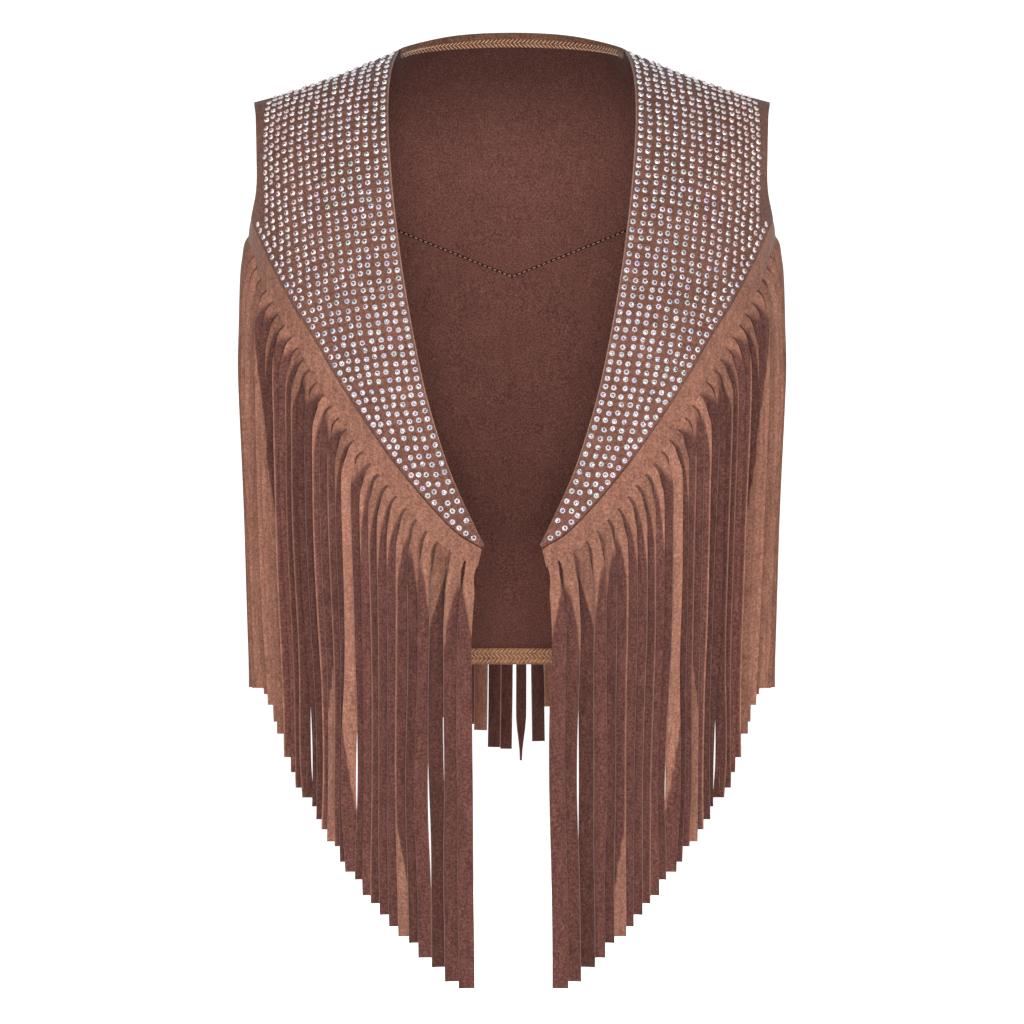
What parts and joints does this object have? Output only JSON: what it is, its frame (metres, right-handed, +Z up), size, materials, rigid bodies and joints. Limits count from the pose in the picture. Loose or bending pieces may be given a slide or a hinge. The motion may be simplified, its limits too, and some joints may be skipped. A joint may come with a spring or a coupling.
{
  "type": "western vest",
  "caption": "Sleeveless open-front suede-look western vest with crystal-set yokes and long fringe, hollow as when worn.",
  "frame": {"origin": "midway between the two shoulder seams, level with their middles, where the wearer's shoulders hold the vest up", "axes": "+Z up, -Y is the way the wearer faces, +X is the wearer's left"},
  "size_m": [0.3798, 0.2069, 0.6631],
  "materials": {
    "suede": "tan-brown napped faux suede, dark reddish brown on the reverse",
    "turned_edge": "tan faux suede edge turned in, with a golden-tan overlocked edge",
    "fringe": "cut faux suede strips, dark reddish brown napped reverse showing with some tan faces"
  },
  "bodies": {
    "root": {"back": "suede", "neck_turn_in": "turned_edge", "hem_turn_up": "turned_edge", "front_yoke_left": "suede", "front_yoke_right": "suede", "front_lower_left": "suede", "front_lower_right": "suede", "front_fringe_left": "fringe", "front_fringe_right": "fringe", "back_fringe_left": "fringe", "back_fringe_right": "fringe"}
  },
  "joints": []
}
